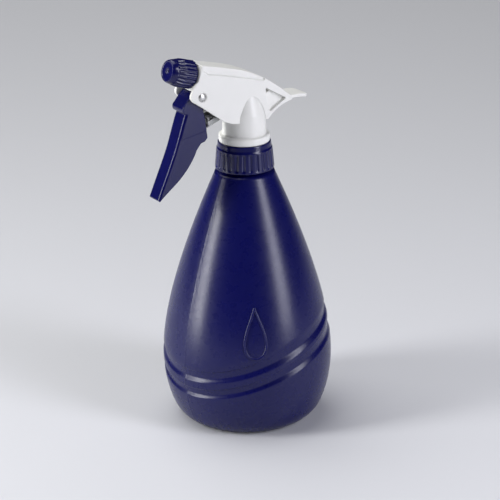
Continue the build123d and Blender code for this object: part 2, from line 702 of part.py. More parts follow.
with BuildPart() as tube_holder:
    turn(
        upright,
        [
            (TUBE_RADIUS + PRESS_GAP, retainer_foot - 1.0),
            (HOLDER_FLANGE_RADIUS, retainer_foot - 1.0),
            (HOLDER_FLANGE_RADIUS, retainer_foot - PRESS_GAP),
            (RISER_BORE - PRESS_GAP, retainer_foot - PRESS_GAP),
            (RISER_BORE - PRESS_GAP, HOLDER_TOP),
            (BALL_SEAT_BORE, HOLDER_TOP),
            (BALL_SEAT_BORE, TUBE_TOP + PRESS_GAP),
            (TUBE_RADIUS + PRESS_GAP, TUBE_TOP + PRESS_GAP),
        ],
    )

with BuildPart() as inlet_ball:
    with Locations((0, 0, HEAD_BASE + HOLDER_TOP + BALL_SEAT_RISE + PRESS_GAP)):
        Sphere(BALL_RADIUS)

with BuildPart() as dip_tube:
    ring(Plane.XY, TUBE_BORE, TUBE_RADIUS, TUBE_FOOT, HEAD_BASE + TUBE_TOP)

with BuildPart() as tube_strainer:
    rod(Plane.XY, STRAINER_RADIUS, STRAINER_FOOT, STRAINER_TOP)
    rod(Plane.XY, TUBE_RADIUS + PRESS_GAP, TUBE_FOOT - PRESS_GAP, STRAINER_TOP, Mode.SUBTRACT)
    rod(Plane.XY, TUBE_BORE, STRAINER_FOOT + 1.0, TUBE_FOOT, Mode.SUBTRACT)
    with Locations((0, 0, STRAINER_FOOT + 1.9)):
        with PolarLocations(STRAINER_RADIUS - 1.0, 6):
            Box(3.0, 0.7, 1.4, mode=Mode.SUBTRACT)

# ================= write the nodes =================

NODES = {
    "bottle": bottle,
    "screw_collar": screw_collar,
    "neck_gasket": neck_gasket,
    "pump_body": pump_body,
    "pump_cylinder": pump_cylinder,
    "piston_guide": piston_guide,
    "piston": piston,
    "piston_seal": piston_seal,
    "piston_cap": piston_cap,
    "return_spring": return_spring,
    "shroud": shroud,
    "pivot_pin": pivot_pin,
    "trigger": trigger,
    "nozzle_knob": nozzle_knob,
    "nozzle_seal_ring": nozzle_seal_ring,
    "swirl_insert": swirl_insert,
    "outlet_ball": outlet_ball,
    "outlet_spring": outlet_spring,
    "tube_holder": tube_holder,
    "inlet_ball": inlet_ball,
    "dip_tube": dip_tube,
    "tube_strainer": tube_strainer,
}

os.makedirs("parts", exist_ok=True)
for label, piece in NODES.items():
    piece.part.label = label
    export_step(piece.part, f"parts/{label}.step")
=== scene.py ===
"""Looks of a trigger spray bottle: moulded skins over its frame, finishes, studio and camera.

Sizes are in millimetres and angles in degrees unless a name says otherwise. Every mesh is
written in metres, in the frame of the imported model: origin at the centre of the bottle's
base, +Z up, +X the way the nozzle sprays.
"""

import json
import logging
from collections.abc import Callable
from dataclasses import dataclass
from enum import Enum
from math import cos, radians, sin

import bmesh
import bpy
import numpy as np
from mathutils import Matrix, Vector


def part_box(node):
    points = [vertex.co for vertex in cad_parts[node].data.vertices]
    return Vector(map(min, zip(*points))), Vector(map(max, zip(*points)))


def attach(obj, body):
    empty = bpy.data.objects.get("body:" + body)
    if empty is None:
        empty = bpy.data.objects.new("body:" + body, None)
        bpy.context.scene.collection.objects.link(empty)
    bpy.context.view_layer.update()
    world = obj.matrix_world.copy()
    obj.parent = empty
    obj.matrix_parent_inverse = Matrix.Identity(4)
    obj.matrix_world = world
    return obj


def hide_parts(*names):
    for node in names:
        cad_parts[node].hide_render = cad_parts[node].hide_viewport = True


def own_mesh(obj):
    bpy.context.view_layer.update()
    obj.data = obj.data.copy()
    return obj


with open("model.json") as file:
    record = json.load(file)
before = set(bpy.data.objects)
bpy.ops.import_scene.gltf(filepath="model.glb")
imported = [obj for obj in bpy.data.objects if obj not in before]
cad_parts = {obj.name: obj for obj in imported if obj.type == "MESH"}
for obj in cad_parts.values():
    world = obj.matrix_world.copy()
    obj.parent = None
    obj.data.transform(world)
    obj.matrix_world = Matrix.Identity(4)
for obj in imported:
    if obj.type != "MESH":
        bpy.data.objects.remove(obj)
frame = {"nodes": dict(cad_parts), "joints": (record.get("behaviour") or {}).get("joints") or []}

MM = 0.001
FULL_TURN = 2 * np.pi
# distance of the pump's axis under the trigger's pivot, in millimetres
PUMP_DROP = 17.2
log = logging.getLogger("spray_bottle")


# ---------------------------------------------------------------- colour, nodes and finishes


def linear(colour: str) -> tuple[float, float, float, float]:
    """Turn an sRGB hex colour into linear light.

    Args:
        colour: "#rrggbb".

    Returns:
        Red, green, blue and an alpha of one.
    """
    shown = np.array([int(colour[i : i + 2], 16) for i in (1, 3, 5)]) / 255
    light = np.where(shown <= 0.04045, shown / 12.92, ((shown + 0.055) / 1.055) ** 2.4)
    return (*light.tolist(), 1.0)


def add_node(
    tree: bpy.types.NodeTree, kind: str, inputs: dict | None = None, **settings
) -> bpy.types.Node:
    """Add a node to a tree.

    Args:
        tree: the tree it goes in.
        kind: the node's type name.
        inputs: socket name or number to a value, or to the output socket linked into it.
        settings: the node's own properties.

    Returns:
        The new node.
    """
    node = tree.nodes.new(kind)
    for name, value in settings.items():
        setattr(node, name, value)
    for socket, value in (inputs or {}).items():
        if isinstance(value, bpy.types.NodeSocket):
            tree.links.new(value, node.inputs[socket])
        else:
            node.inputs[socket].default_value = value
    return node


@dataclass(frozen=True)
class Finish:
    """A moulded or drawn surface: a colour that drifts, an uneven gloss and a fine grain."""

    name: str
    colour: str
    drift_colour: str
    roughness: float
    ior: float = 1.5
    specular: float = 0.5
    metallic: float = 0.0
    transmission: float = 0.0
    drift_size: float = 14.0
    gloss_spread: float = 0.05
    gloss_size: float = 5.0
    grain_size: float = 0.9
    grain_height: float = 0.008

    def material(self) -> bpy.types.Material:
        """Build the finish's node material.

        Returns:
            The material, with all its patterns on Object coordinates.
        """
        made = bpy.data.materials.new(self.name)
        made.use_nodes = True
        tree = made.node_tree
        tree.nodes.clear()
        place = add_node(tree, "ShaderNodeTexCoord").outputs["Object"]
        drift = self.noise(tree, place, self.drift_size, detail=3.0)
        tone = add_node(
            tree,
            "ShaderNodeMix",
            {0: drift, 6: linear(self.colour), 7: linear(self.drift_colour)},
            data_type="RGBA",
        )
        gloss = add_node(
            tree,
            "ShaderNodeMapRange",
            {
                "Value": self.noise(tree, place, self.gloss_size, detail=4.0),
                "To Min": self.roughness - self.gloss_spread,
                "To Max": self.roughness + self.gloss_spread,
            },
        )
        shader = add_node(
            tree,
            "ShaderNodeBsdfPrincipled",
            {
                "Base Color": tone.outputs[2],
                "Roughness": gloss.outputs[0],
                "Normal": self.relief(tree, place),
                "IOR": self.ior,
                "Specular IOR Level": self.specular,
                "Metallic": self.metallic,
                "Transmission Weight": self.transmission,
            },
        )
        add_node(tree, "ShaderNodeOutputMaterial", {"Surface": shader.outputs[0]})
        return made

    def noise(
        self, tree: bpy.types.NodeTree, place: bpy.types.NodeSocket, size: float, detail: float
    ) -> bpy.types.NodeSocket:
        """Return the value of a cloudy pattern.

        Args:
            tree: the material's tree.
            place: coordinates in metres.
            size: how far apart its features lie, in millimetres.
            detail: how many finer layers it has.

        Returns:
            The pattern's value.
        """
        cloud = add_node(
            tree,
            "ShaderNodeTexNoise",
            {"Vector": place, "Scale": 1 / (size * MM), "Detail": detail},
        )
        return cloud.outputs[0]

    def relief(
        self, tree: bpy.types.NodeTree, place: bpy.types.NodeSocket
    ) -> bpy.types.NodeSocket:
        """Return the normal of the fine grain that the mould leaves.

        Args:
            tree: the material's tree.
            place: Object coordinates.

        Returns:
            The normal socket.
        """
        grain = add_node(
            tree,
            "ShaderNodeBump",
            {
                "Height": self.noise(tree, place, self.grain_size, detail=2.0),
                "Distance": self.grain_height * MM,
                "Strength": 1.0,
            },
        )
        return grain.outputs[0]


@dataclass(frozen=True)
class BlownFinish(Finish):
    """Blow-moulded skin: orange peel all over, and drawn streaks along the parting plane."""

    parting_angle: float = 10.0
    streak_width: float = 5.0
    streak_size: float = 0.7
    streak_length: float = 16.0
    streak_height: float = 0.16
    peel_size: float = 3.5
    peel_height: float = 0.02

    def relief(
        self, tree: bpy.types.NodeTree, place: bpy.types.NodeSocket
    ) -> bpy.types.NodeSocket:
        """Return the normal of the grain, the orange peel and the parting streaks.

        Args:
            tree: the material's tree.
            place: Object coordinates.

        Returns:
            The normal socket.
        """
        turned = add_node(
            tree,
            "ShaderNodeMapping",
            {"Vector": place, "Rotation": (0.0, 0.0, -radians(self.parting_angle))},
        )
        across = add_node(tree, "ShaderNodeSeparateXYZ", {0: turned.outputs[0]})
        apart = add_node(
            tree, "ShaderNodeMath", {0: across.outputs["Y"]}, operation="ABSOLUTE"
        )
        near = add_node(
            tree,
            "ShaderNodeMapRange",
            {
                "Value": apart.outputs[0],
                "From Min": 0.0,
                "From Max": self.streak_width * MM,
                "To Min": 1.0,
                "To Max": 0.0,
            },
            interpolation_type="SMOOTHSTEP",
        )
        drawn = add_node(
            tree,
            "ShaderNodeMapping",
            {
                "Vector": turned.outputs[0],
                "Scale": (1.0, 1.0, self.streak_size / self.streak_length),
            },
        )
        streaks = self.noise(tree, drawn.outputs[0], self.streak_size, detail=3.0)
        masked = add_node(
            tree, "ShaderNodeMath", {0: streaks, 1: near.outputs[0]}, operation="MULTIPLY"
        )
        peel = add_node(
            tree,
            "ShaderNodeBump",
            {
                "Height": self.noise(tree, place, self.peel_size, detail=1.0),
                "Distance": self.peel_height * MM,
                "Normal": super().relief(tree, place),
            },
        )
        marked = add_node(
            tree,
            "ShaderNodeBump",
            {
                "Height": masked.outputs[0],
                "Distance": self.streak_height * MM,
                "Normal": peel.outputs[0],
            },
        )
        return marked.outputs[0]


class Surface(Enum):
    """The finishes of this bottle, each named for its material and how it was made."""

    # high-density polyethylene, blow moulded: deep blue, satin, broad soft reflections
    BLOWN_HDPE = BlownFinish(
        "navy_hdpe_blow_moulded", "#0a0d4e", "#090b47", 0.28, ior=1.54, specular=0.33,
        drift_size=30.0, grain_size=0.8, grain_height=0.012,
    )
    # polypropylene from a polished mould: the same blue, glossier, crisp small highlights
    GLOSS_PP = Finish(
        "navy_pp_polished_mould", "#0c0e4c", "#090b44", 0.2, specular=0.42, grain_height=0.004,
    )
    # filled polypropylene, satin: near white with a slight sheen
    WHITE_PP = Finish(
        "white_pp_satin_mould", "#e9e9e5", "#e5e5e1", 0.34, drift_size=25.0,
        grain_size=0.7, grain_height=0.005,
    )
    # unpigmented polyethylene: milky grey, lets some light through
    NATURAL_PE = Finish(
        "natural_pe_moulded", "#c4c5c3", "#b4b6b5", 0.38, ior=1.51, transmission=0.25,
        grain_size=0.6, grain_height=0.006,
    )
    # stainless steel, cold headed or drawn: bright, lightly streaked
    STEEL = Finish(
        "stainless_steel_drawn", "#cfcfcd", "#b9b9b8", 0.36, metallic=1.0, drift_size=4.0,
        gloss_size=0.8, grain_size=0.35, grain_height=0.002,
    )
    # nitrile rubber, compression moulded: dull and nearly black
    RUBBER = Finish(
        "nitrile_rubber_moulded", "#202124", "#191a1c", 0.6, ior=1.52, grain_size=0.4,
    )

    @property
    def material(self) -> bpy.types.Material:
        """The finish's material, built the first time that it is asked for."""
        made = bpy.data.materials.get(self.value.name)
        return made or self.value.material()


# ---------------------------------------------------------------- surfaces as arrays


@dataclass(frozen=True)
class Axis:
    """A line with a zero point, and two directions square to it, for turned shapes."""

    origin: tuple[float, float, float]
    along: tuple[float, float, float]
    side: tuple[float, float, float]

    def points(self, radius: np.ndarray, angle: np.ndarray, height: np.ndarray) -> np.ndarray:
        """Place turned coordinates in the frame.

        The point is origin + height * along + radius * (cos(angle) * side + sin(angle) * cross),
        where cross is along x side.

        Args:
            radius: distance from the axis.
            angle: angle round it, in radians from side.
            height: distance along it.

        Returns:
            Points in millimetres, one axis more than the broadcast inputs.
        """
        along = np.array(self.along) / np.linalg.norm(self.along)
        side = np.array(self.side, float)
        cross = np.cross(along, side)
        radius, angle, height = np.broadcast_arrays(radius, angle, height)
        round_it = np.cos(angle)[..., None] * side + np.sin(angle)[..., None] * cross
        return np.array(self.origin) + height[..., None] * along + radius[..., None] * round_it


UPRIGHT = Axis((0.0, 0.0, 0.0), (0.0, 0.0, 1.0), (1.0, 0.0, 0.0))


def joint_axis(joint: str, origin: tuple[float, float, float] | None = None) -> Axis:
    """Return the axis of one of the frame's joints, in millimetres.

    Args:
        joint: the joint's name in the record.
        origin: a point on the axis, needed where the joint slides and states none.

    Returns:
        The axis, with its side direction along +Y, or +X where the joint itself runs along Y.
    """
    row = next(row for row in frame["joints"] if row["name"] == joint)
    along = tuple(float(value) for value in row["axis"])
    side = (1.0, 0.0, 0.0) if abs(along[1]) > 0.5 else (0.0, 1.0, 0.0)
    return Axis(origin or tuple(float(value) / MM for value in row["pos_m"]), along, side)


def pump_axis() -> Axis:
    """Return the pump's axis, whose zero is the foot of the square from the trigger's pivot.

    With the stroke's direction (x, 0, z), that foot lies at pivot + PUMP_DROP * (-z, 0, x).

    Returns:
        The axis, in millimetres.
    """
    pivot = joint_axis("trigger_pull").origin
    stroke = next(row for row in frame["joints"] if row["name"] == "piston_stroke")["axis"]
    foot = (pivot[0] - PUMP_DROP * stroke[2], pivot[1], pivot[2] + PUMP_DROP * stroke[0])
    return joint_axis("piston_stroke", foot)


def soften(outline: list, radius: float, steps: int = 5) -> np.ndarray:
    """Round the inner corners of an open outline.

    Each corner c becomes the parabola (1-t)^2 a + 2t(1-t) c + t^2 b between the points a and
    b that lie radius from it, or 0.45 of the shorter way, towards its two neighbours.

    Args:
        outline: the outline's points.
        radius: how far from a corner its rounding starts.
        steps: points on each rounded corner.

    Returns:
        The rounded outline, with its two ends kept.
    """
    points = np.array(outline, float)
    corner = points[1:-1]
    back, ahead = points[:-2] - corner, points[2:] - corner
    reach = [
        np.minimum(radius / np.linalg.norm(way, axis=1), 0.45)[:, None] * way
        for way in (back, ahead)
    ]
    t = np.linspace(0, 1, steps)[None, :, None]
    start, end = corner + reach[0], corner + reach[1]
    arcs = (1 - t) ** 2 * start[:, None] + 2 * t * (1 - t) * corner[:, None] + t**2 * end[:, None]
    return np.concatenate([points[:1], arcs.reshape(-1, 2), points[-1:]])


def fill_in(outline: np.ndarray, step: float) -> np.ndarray:
    """Add points to an outline so that no two neighbours are more than step apart.

    Args:
        outline: points in order.
        step: the largest gap, in millimetres.

    Returns:
        The same outline with evenly spaced points added on its longer runs.
    """
    gap = np.linalg.norm(np.diff(outline, axis=0), axis=1)
    pieces = np.maximum(np.ceil(gap / step).astype(int), 1)
    index = np.repeat(np.arange(len(gap)), pieces)
    first = np.repeat(np.cumsum(pieces) - pieces, pieces)
    share = (np.arange(pieces.sum()) - first) / pieces[index]
    inner = outline[index] + share[:, None] * (outline[index + 1] - outline[index])
    return np.concatenate([inner, outline[-1:]])


def spread(outline: np.ndarray, columns: int) -> tuple[np.ndarray, np.ndarray]:
    """Repeat an outline of (radius, height) points in every column of a grid.

    Args:
        outline: the outline's points.
        columns: points round the axis.

    Returns:
        Radii and heights, rows x columns.
    """
    return np.repeat(outline[:, :1], columns, 1), np.repeat(outline[:, 1:], columns, 1)


def grid_object(name: str, points: np.ndarray, ring: bool = False) -> bpy.types.Object:
    """Make an object of a grid of points whose rows each close on themselves.

    Row i, column j is joined to its neighbours by a quad. A first or last row that is one
    point becomes a pole, joined by triangles. The faces are turned outward by the sign of
    the solid's volume, the sum of a . (b x c) / 6 over its triangles.

    Args:
        name: the object's name.
        points: rows x columns x 3, in millimetres.
        ring: whether the last row joins the first, as on a torus.

    Returns:
        The object, at the origin, smooth shaded.
    """
    rows, columns, _ = points.shape
    poles = [not ring and np.ptp(points[row], axis=0).max() < 1e-7 for row in (0, -1)]
    flat = points.reshape(-1, 3)
    index = np.arange(rows * columns).reshape(rows, columns)
    if poles[0]:
        flat = flat[columns - 1 :]
        index = np.maximum(index - (columns - 1), 0)
    if poles[1]:
        flat = flat[: len(flat) - (columns - 1)]
        index = np.minimum(index, len(flat) - 1)
    if ring:
        index = np.concatenate([index, index[:1]])
    after = np.roll(index, -1, axis=1)
    quads = np.stack([index[:-1], after[:-1], after[1:], index[1:]], axis=-1)
    keep = quads[int(poles[0]) : len(quads) - int(poles[1])].reshape(-1, 4)
    fans = [np.zeros((0, 3), int)]
    if poles[0]:
        fans.append(quads[0][:, [0, 2, 3]])
    if poles[1]:
        fans.append(quads[-1][:, [0, 1, 2]])
    fans = np.concatenate(fans)
    triangles = np.concatenate([keep[:, [0, 1, 2]], keep[:, [0, 2, 3]], fans])
    a, b, c = (flat[triangles[:, i]] for i in range(3))
    if np.einsum("ij,ij->", a, np.cross(b, c)) < 0:
        keep, fans = keep[:, ::-1], fans[:, ::-1]
    mesh = bpy.data.meshes.new(name)
    mesh.from_pydata((flat * MM).tolist(), [], keep.tolist() + fans.tolist())
    mesh.shade_smooth()
    made = bpy.data.objects.new(name, mesh)
    bpy.context.scene.collection.objects.link(made)
    return made


def turned(
    name: str, outline: np.ndarray, columns: int, axis: Axis, radius_rule: Callable | None = None
) -> bpy.types.Object:
    """Make a turned object from an outline of (radius, height) points.

    Args:
        name: the object's name.
        outline: points from the axis round the section and back to the axis.
        columns: points round the axis.
        axis: the axis it is turned about.
        radius_rule: optional function of (radius, angle, height) that gives the final radius.

    Returns:
        The object.
    """
    angle = np.linspace(0, FULL_TURN, columns, endpoint=False)[None, :]
    radius, height = outline[:, :1], outline[:, 1:]
    if radius_rule is not None:
        radius = radius_rule(radius, angle, height)
    return grid_object(name, axis.points(radius, angle, height))


def soft_step(value: np.ndarray, low: float, high: float) -> np.ndarray:
    """Return 0 below low, 1 above high, and 3s^2 - 2s^3 of the share s between them."""
    share = np.clip((value - low) / (high - low), 0, 1)
    return share * share * (3 - 2 * share)


def flute_floor(angle: np.ndarray, count: int, centre: float, cutter: float) -> np.ndarray:
    """Return the radius left by round flutes cut along a turned part.

    With s the distance round from the nearest flute's middle, the floor lies at
    centre - sqrt(cutter^2 - s^2), and away from the flutes it is out of reach.

    Args:
        angle: angle round the axis, in radians.
        count: number of flutes.
        centre: distance of the cutter's middle from the axis.
        cutter: the cutter's radius.

    Returns:
        The floor's radius at each angle.
    """
    pitch = FULL_TURN / count
    apart = np.abs((angle + pitch / 2) % pitch - pitch / 2) * centre
    depth = np.sqrt(np.clip(cutter**2 - apart**2, 0, None))
    return np.where(apart < cutter, centre - depth, centre + cutter)


def dress(piece: bpy.types.Object, body: str, surface: Surface, slot: str, *nodes: str) -> None:
    """Give a piece its finish, tie it to its body, and hide the nodes it stands for.

    Args:
        piece: the new object.
        body: the body that it rides on.
        surface: its finish.
        slot: the record's material slot; not used.
        nodes: the CAD nodes that it replaces.
    """
    piece.data.materials.clear()
    piece.data.materials.append(surface.material)
    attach(piece, body)
    if nodes:
        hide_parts(*nodes)
    log.info("%s: %d faces on %s", piece.name, len(piece.data.polygons), body)


# ---------------------------------------------------------------- bottle


@dataclass
class Bottle:
    """The blown bottle: foot, belly and drawn-in shoulder, two moulded steps and a screw neck."""

    foot_radius: float = 34.0
    heel: tuple[float, float] = (43.7, 8.0)
    belly: tuple[float, float] = (49.5, 38.0)
    shoulder: tuple[float, float] = (17.0, 149.4)
    wall: float = 1.5
    roof_drop: float = 4.5
    push_up: float = 1.1
    parting: float = 10.0
    parting_height: float = 0.09
    parting_width: float = 0.35
    step_edges: tuple[tuple[float, float, float], ...] = (
        (23.1, 41.7, 51.7), (29.7, 49.6, 63.1), (33.8, 52.0, 64.7), (41.1, 60.2, 73.3),
    )
    step_depth: float = 1.25
    step_full_width: float = 4.0
    ledge: float = 0.42
    lip: float = 0.42
    lip_start: float = 0.93
    level_station: float = 92.0
    neck_radius: float = 12.6
    neck_bore: float = 10.8
    neck_length: float = 10.6
    neck_rise: float = 1.4
    neck_flare: float = 1.6
    rim_ease: float = 0.4
    thread_height: float = 0.9
    thread_pitch: float = 3.6
    thread_turns: float = 1.6
    thread_start: float = 3.2
    thread_crest: float = 0.35
    thread_foot: float = 0.85
    thread_fade: float = 0.1
    emblem_azimuth: float = 63.0
    emblem_height: float = 66.5
    emblem_reach: tuple[float, float] = (9.0, 14.5)
    emblem_ridge: tuple[float, float] = (0.8, 0.7)
    columns: int = 250

    def body_curve(self) -> np.ndarray:
        """Return the outside from the foot to the shoulder as (radius, height) points.

        Three cubic Bezier arcs, (1-t)^3 a + 3t(1-t)^2 b + 3t^2(1-t) c + t^3 d, meet at the
        heel and at the belly with the same slope.

        Returns:
            The points, 200 on each arc.
        """
        foot, heel, belly, shoulder = self.foot_radius, self.heel, self.belly, self.shoulder
        arcs = np.array([
            [(foot, 0), (foot + 4.5, 0), (heel[0] - 1.5, heel[1] - 3.2), heel],
            [heel, (heel[0] + 4.3, heel[1] + 9.2), (belly[0], belly[1] - 9.2), belly],
            [belly, (belly[0], belly[1] + 41.3), (shoulder[0], shoulder[1] - 1.0), shoulder],
        ])
        t = np.linspace(0, 1, 200)[None, :, None]
        a, b, c, d = (arcs[:, i : i + 1] for i in range(4))
        curve = (1 - t) ** 3 * a + 3 * t * (1 - t) ** 2 * b + 3 * t**2 * (1 - t) * c + t**3 * d
        return curve.reshape(-1, 2)

    def radius_at(self, height: np.ndarray) -> np.ndarray:
        """Return the body's outer radius at each height, read off its curve."""
        curve = self.body_curve()
        return np.interp(height, curve[:, 1], curve[:, 0])

    def edge(self, ends: tuple[float, float, float], reach: np.ndarray) -> np.ndarray:
        """Return the height of a step's edge.

        Seen square to the parting plane, the edge is an arc through a front, a middle and a
        back height. With p the place between front, 1, and back, -1, it is the parabola
        middle + (front - back) / 2 p + ((front + back) / 2 - middle) p^2. Where the body has
        narrowed, p shrinks with its radius, so height and p are found by turns.

        Args:
            ends: heights at the front, the middle and the back.
            reach: place between the front, 1, and the back, -1.

        Returns:
            The edge's height at each place.
        """
        front, middle, back = ends
        bow = (front + back) / 2 - middle
        level = np.full_like(reach, middle)
        for _ in range(4):
            place = reach * self.radius_at(level) / self.belly[0]
            level = middle + (front - back) / 2 * place + bow * place**2
        return level

    def saw(self, share: np.ndarray, width: np.ndarray) -> np.ndarray:
        """Return a step's depth at a share of its way up.

        A wide eased ledge leads in from the foot, the wall then slopes back out to the height
        of the lip, and the lip itself is a short drop at the top edge.

        Args:
            share: 0 at the foot of the ledge and 1 at the top edge.
            width: the step's height at that place, in millimetres.

        Returns:
            How far the wall lies in from the body's curve.
        """
        deep = self.step_depth * np.clip(width / self.step_full_width, 0.35, 1.0)
        slope = self.lip + (1 - self.lip) * (1 - share) / (1 - self.ledge)
        top = 1 - soft_step(share, self.lip_start, 1.0)
        return deep * soft_step(share, 0.0, self.ledge) * np.clip(slope, 0, 1) * top

    def columns_round(self) -> np.ndarray:
        """Return the angles of the columns, closer together at the two parting lines.

        Returns:
            The angles, in radians.
        """
        even = np.linspace(0, 360, self.columns, endpoint=False)
        fine = np.array([-0.9, -0.6, -0.4, -0.25, -0.12, 0.0, 0.12, 0.25, 0.4, 0.6, 0.9])
        seams = np.concatenate([fine, fine + 180]) % 360
        far = np.abs((even[:, None] - seams[None, :] + 180) % 360 - 180).min(axis=1) > 0.35
        return np.radians(np.sort(np.concatenate([even[far], seams])) + self.parting)

    def build(self) -> None:
        """Build the bottle's skin, outside, neck, inside and all, and its raised emblem."""
        angle = self.columns_round()[None, :]
        radius, height = self.wall_outside(angle)
        seam = np.abs((angle - radians(self.parting) + np.pi / 2) % np.pi - np.pi / 2)
        proud = self.parting_height * np.exp(-((seam * radius / self.parting_width) ** 2))
        rows = [
            (radius + proud, height),
            self.neck(angle),
            self.neck_inside(angle),
            self.wall_inside(radius, height),
        ]
        radius, height = (np.concatenate(column) for column in zip(*rows))
        skin = grid_object("bottle_skin", UPRIGHT.points(radius, angle, height))
        dress(skin, "bottle", Surface.BLOWN_HDPE, "bottle_navy", "bottle")
        self.emblem()

    def wall_outside(self, angle: np.ndarray) -> tuple[np.ndarray, np.ndarray]:
        """Return the foot and the wall up to the shoulder, with the two steps.

        Every column passes through the same stations: the heel, the edges of the two steps,
        a level height over them and the shoulder. Between two of them its height is
        low + share (high - low), and on a step the radius is the body's less saw(share).

        Args:
            angle: the columns' angles.

        Returns:
            Radii and heights, rows x columns.
        """
        reach = np.cos(angle - radians(self.parting))
        foot = fill_in(
            np.array([
                (0.0, self.push_up), (self.foot_radius - 8, self.push_up),
                (self.foot_radius - 5, 0.2), (self.foot_radius - 3, 0.0),
            ]),
            2.5,
        )
        foot = np.concatenate([foot, self.body_curve()[:200:14]])
        rows = [spread(foot, angle.size)]
        stations = [
            np.full_like(angle, self.heel[1] + 1.0),
            *(self.edge(ends, reach) for ends in self.step_edges),
            np.full_like(angle, self.level_station),
            np.full_like(angle, self.shoulder[1]),
        ]
        step = np.concatenate([
            np.linspace(0, self.ledge, 10),
            np.linspace(self.ledge, 0.92, 6)[1:],
            [0.945, 0.965, 0.985],
        ])
        below, between, above = (np.linspace(0, 1, count)[:-1] for count in (9, 6, 13))
        shares = [below, step, between, step, above, np.linspace(0, 1, 42)]
        for low, high, share in zip(stations, stations[1:], shares):
            level = low + share[:, None] * (high - low)
            inward = self.saw(share[:, None], high - low) if share is step else 0
            rows.append((self.radius_at(level) - inward, level))
        radius, height = (np.concatenate(column) for column in zip(*rows))
        return radius, height

    def wall_inside(
        self, radius: np.ndarray, height: np.ndarray
    ) -> tuple[np.ndarray, np.ndarray]:
        """Return the inside of the wall, from under the neck down to the middle of the floor.

        Args:
            radius: the outside's radii, from the foot up.
            height: the outside's heights.

        Returns:
            Radii and heights, rows x columns.
        """
        radius, height = radius[::-1], height[::-1]
        inside = np.maximum(radius - self.wall, 0)
        floor = height + self.wall * np.clip(1 - height / self.heel[1], 0, 1)
        below = floor[:, 0] < self.shoulder[1] - self.roof_drop
        return inside[below], floor[below]

    def neck_inside(self, angle: np.ndarray) -> tuple[np.ndarray, np.ndarray]:
        """Return the neck's bore, from its rim down.

        Args:
            angle: the columns' angles.

        Returns:
            Radii and heights, rows x columns.
        """
        top = self.shoulder[1] + self.neck_rise + self.neck_length
        bore, eased = self.neck_bore, self.neck_bore + self.rim_ease
        outline = np.array([(eased, 0.0), (bore, -0.5), (bore, -12.0)])
        radius, depth = spread(outline, angle.size)
        return radius, depth + top

    def neck(self, angle: np.ndarray) -> tuple[np.ndarray, np.ndarray]:
        """Return the neck's outside, with its thread, as radii and heights.

        The thread is a ridge along a helix: at turn q = (height - start) / pitch -
        angle / 2 pi its distance from the ridge is |q - round(q)| * pitch, and the ridge is a
        smooth step of that distance, faded in and out over a tenth of a turn.

        Args:
            angle: the columns' angles.

        Returns:
            Radii and heights, rows x columns.
        """
        foot = self.shoulder[1] + self.neck_rise
        rows = np.linspace(-0.4, self.neck_length - self.rim_ease, 64)
        up = np.concatenate([[-1.0], rows])[:, None]
        turn = (up - self.thread_start) / self.thread_pitch - angle / FULL_TURN
        nearest = np.round(turn)
        done = nearest + angle / FULL_TURN
        last, ease = self.thread_turns, self.thread_fade
        fade = soft_step(done, 0.0, ease) * (1 - soft_step(done, last - ease, last))
        apart = np.abs(turn - nearest) * self.thread_pitch
        ridge = 1 - soft_step(apart, self.thread_crest, self.thread_foot)
        radius = self.neck_radius + self.thread_height * ridge * fade
        radius[0] = self.neck_radius + self.neck_flare
        rim = np.repeat([[self.neck_radius - self.rim_ease]], angle.size, 1)
        height = np.repeat(up + foot, angle.size, 1)
        return (
            np.concatenate([radius, rim]),
            np.concatenate([height, np.full_like(rim, foot + self.neck_length)]),
        )

    def emblem(self) -> None:
        """Build a plain raised drop, a ridge carried along a path on the wall.

        The path is wide sin(t) |sin(t/2)|^1.6 across and tall cos(t) up. The ridge's section is
        an ellipse, half of it sunk in the wall.
        """
        wide, tall = self.emblem_reach
        t = np.linspace(0, FULL_TURN, 240, endpoint=False)
        across = wide * np.sin(t) * np.abs(np.sin(t / 2)) ** 1.6
        up = tall * np.cos(t)
        way = np.stack([np.gradient(across), np.gradient(up)])
        way = way / np.maximum(np.linalg.norm(way, axis=0), 1e-9)
        turn = np.linspace(0, FULL_TURN, 12, endpoint=False)[None, :]
        beside, proud = self.emblem_ridge[0] * np.cos(turn), self.emblem_ridge[1] * np.sin(turn)
        level = self.emblem_height + (up[:, None] + beside * -way[0][:, None])
        wall = self.radius_at(level)
        angle = radians(self.emblem_azimuth) + (across[:, None] + beside * way[1][:, None]) / wall
        path = UPRIGHT.points(wall + proud, angle, level)
        ridge = grid_object("bottle_drop_emblem", path, ring=True)
        dress(ridge, "bottle", Surface.BLOWN_HDPE, "bottle_navy")


# ---------------------------------------------------------------- collar


